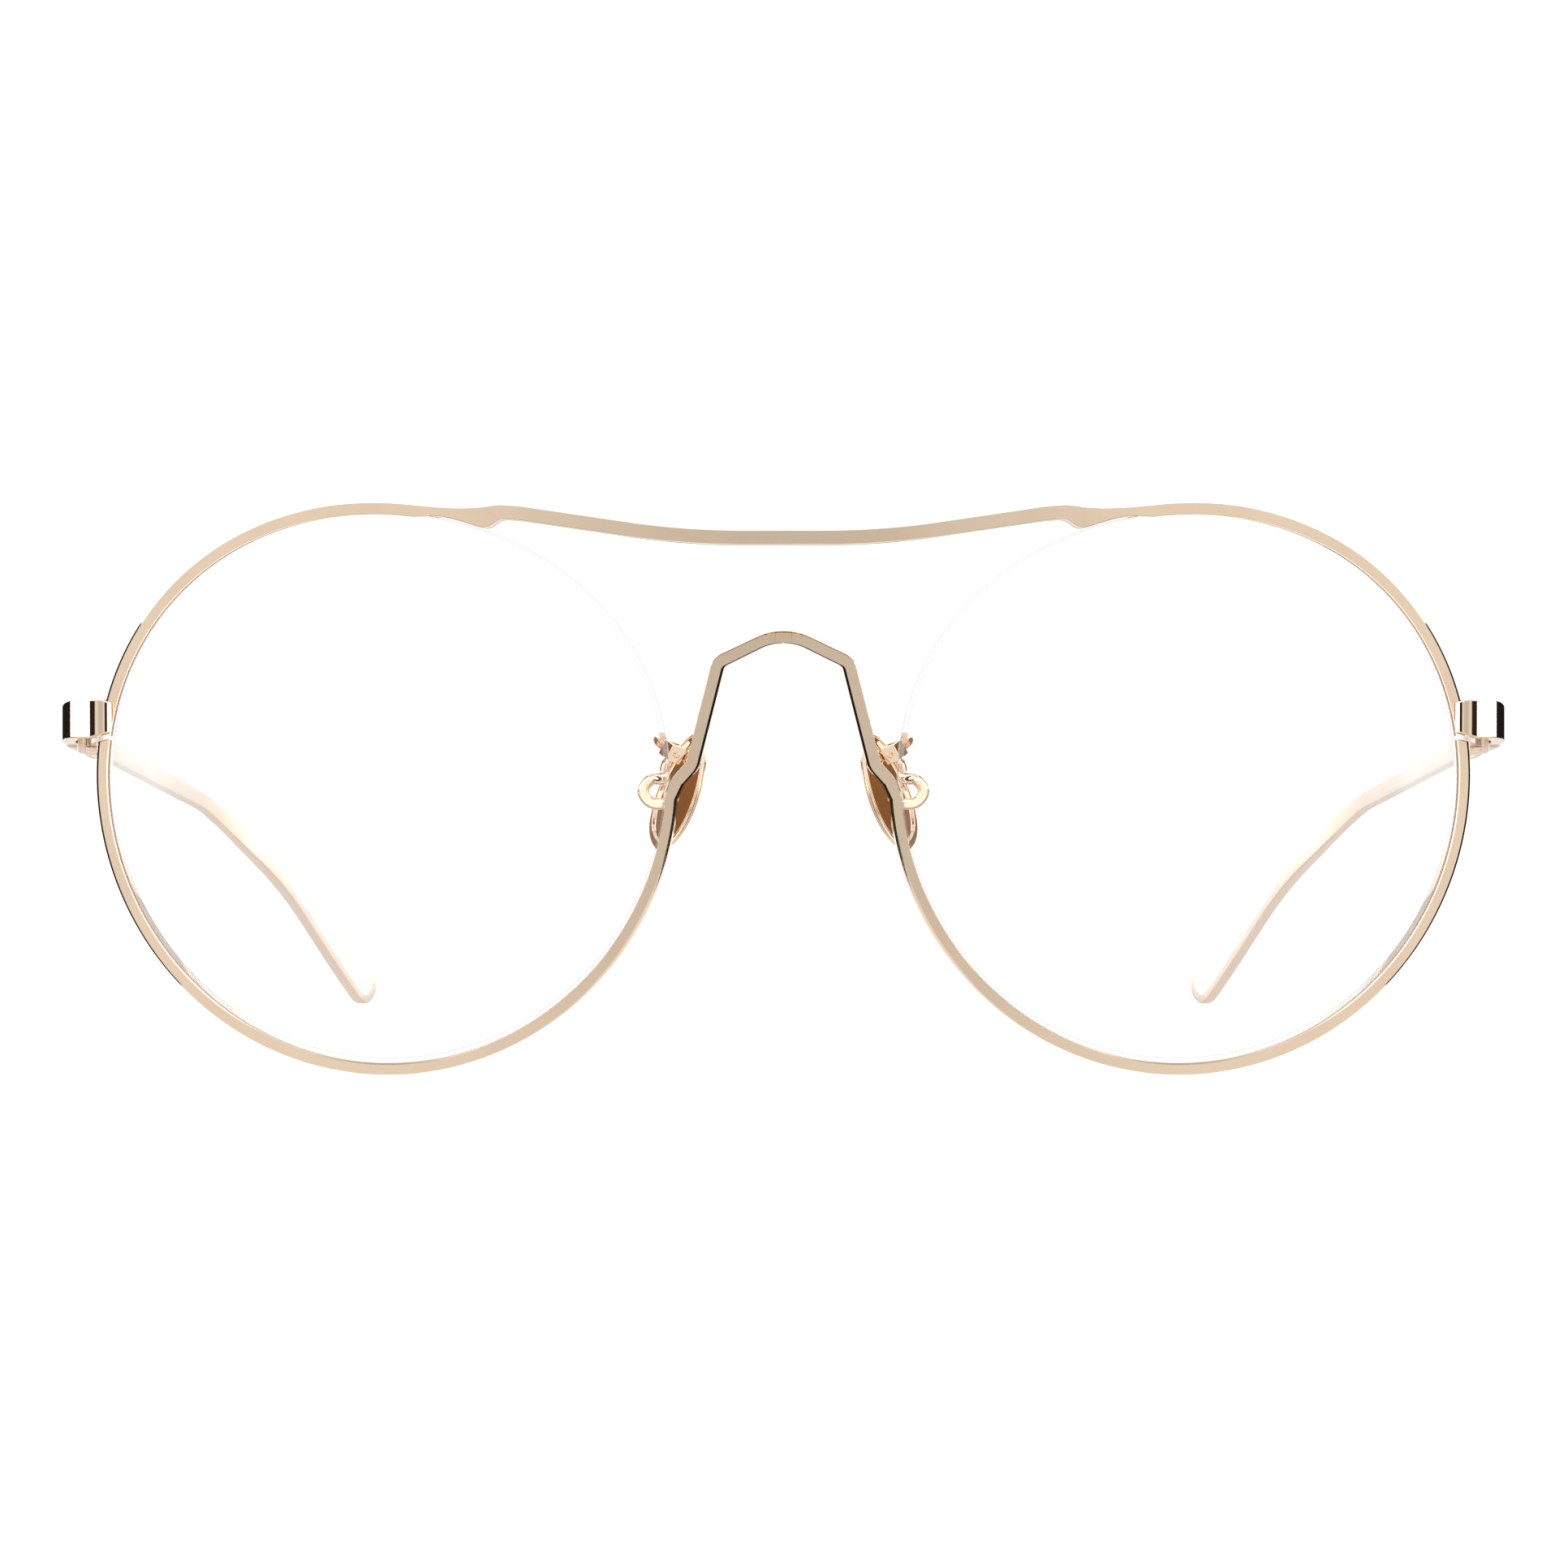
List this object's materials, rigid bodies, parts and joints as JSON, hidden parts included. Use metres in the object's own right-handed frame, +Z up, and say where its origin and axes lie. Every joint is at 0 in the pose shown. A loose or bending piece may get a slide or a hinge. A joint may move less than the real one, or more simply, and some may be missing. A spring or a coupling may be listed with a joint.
{
  "type": "eyeglasses",
  "caption": "Round flat-wire eyeglasses with a straight brow bar above an arched nose bridge, clear lenses, screwed metal nose pads and slim folding temples with cushioned tips.",
  "frame": {"origin": "on the table the glasses stand on, at the middle of their width and depth", "axes": "+Z up; the front of the glasses faces -Y and the temples run towards +Y; +X is the right-hand side seen from the front, so left_ pieces are at -X"},
  "size_m": [0.143, 0.1329, 0.0553],
  "materials": {
    "gold_wire": "polished rose-gold plating on flat wire",
    "polished_gold": "mirror-polished rose-gold plating",
    "clear_lens": "clear, coated, with a ground edge",
    "tip_cushion": "milky translucent soft inlay"
  },
  "bodies": {
    "front": {"bridge_wire": "gold_wire", "brow_wire": "gold_wire", "left_lens": "clear_lens", "right_lens": "clear_lens", "left_endpiece": "polished_gold", "left_closure_wing": "polished_gold", "left_upper_rim_lock": "gold_wire", "left_lower_rim_lock": "gold_wire", "left_rim_screw": "polished_gold", "left_front_hinge": "polished_gold", "left_hinge_screw": "polished_gold", "left_pad_arm": "polished_gold", "left_pad_box": "polished_gold", "left_pad_screw": "polished_gold", "right_endpiece": "polished_gold", "right_closure_wing": "polished_gold", "right_upper_rim_lock": "gold_wire", "right_lower_rim_lock": "gold_wire", "right_rim_screw": "polished_gold", "right_front_hinge": "polished_gold", "right_hinge_screw": "polished_gold", "right_pad_arm": "polished_gold", "right_pad_box": "polished_gold", "right_pad_screw": "polished_gold"},
    "left_temple_arm": {"left_temple": "gold_wire", "left_temple_hinge": "polished_gold", "left_tip_pad": "tip_cushion"},
    "left_pad": {"left_nose_pad": "polished_gold"},
    "right_temple_arm": {"right_temple": "gold_wire", "right_temple_hinge": "polished_gold", "right_tip_pad": "tip_cushion"},
    "right_pad": {"right_nose_pad": "polished_gold"}
  },
  "joints": [
    {"name": "left_temple_fold", "type": "hinge", "parent": "front", "child": "left_temple_arm", "pos_m": [-0.0682, -0.0553, 0.0331], "axis": [0, -0.0819, -0.9966], "range_deg": [0, 84]},
    {"name": "right_temple_fold", "type": "hinge", "parent": "front", "child": "right_temple_arm", "pos_m": [0.0682, -0.0553, 0.0331], "axis": [0, 0.0819, 0.9966], "range_deg": [0, 74]},
    {"name": "left_pad_rock", "type": "hinge", "parent": "front", "child": "left_pad", "pos_m": [-0.01089, -0.05917, 0.03129], "axis": [-0.4769, 0.7942, 0.3766], "range_deg": [-8, 8]},
    {"name": "right_pad_rock", "type": "hinge", "parent": "front", "child": "right_pad", "pos_m": [0.01089, -0.05917, 0.03129], "axis": [0.4769, 0.7942, 0.3766], "range_deg": [-8, 8]}
  ]
}
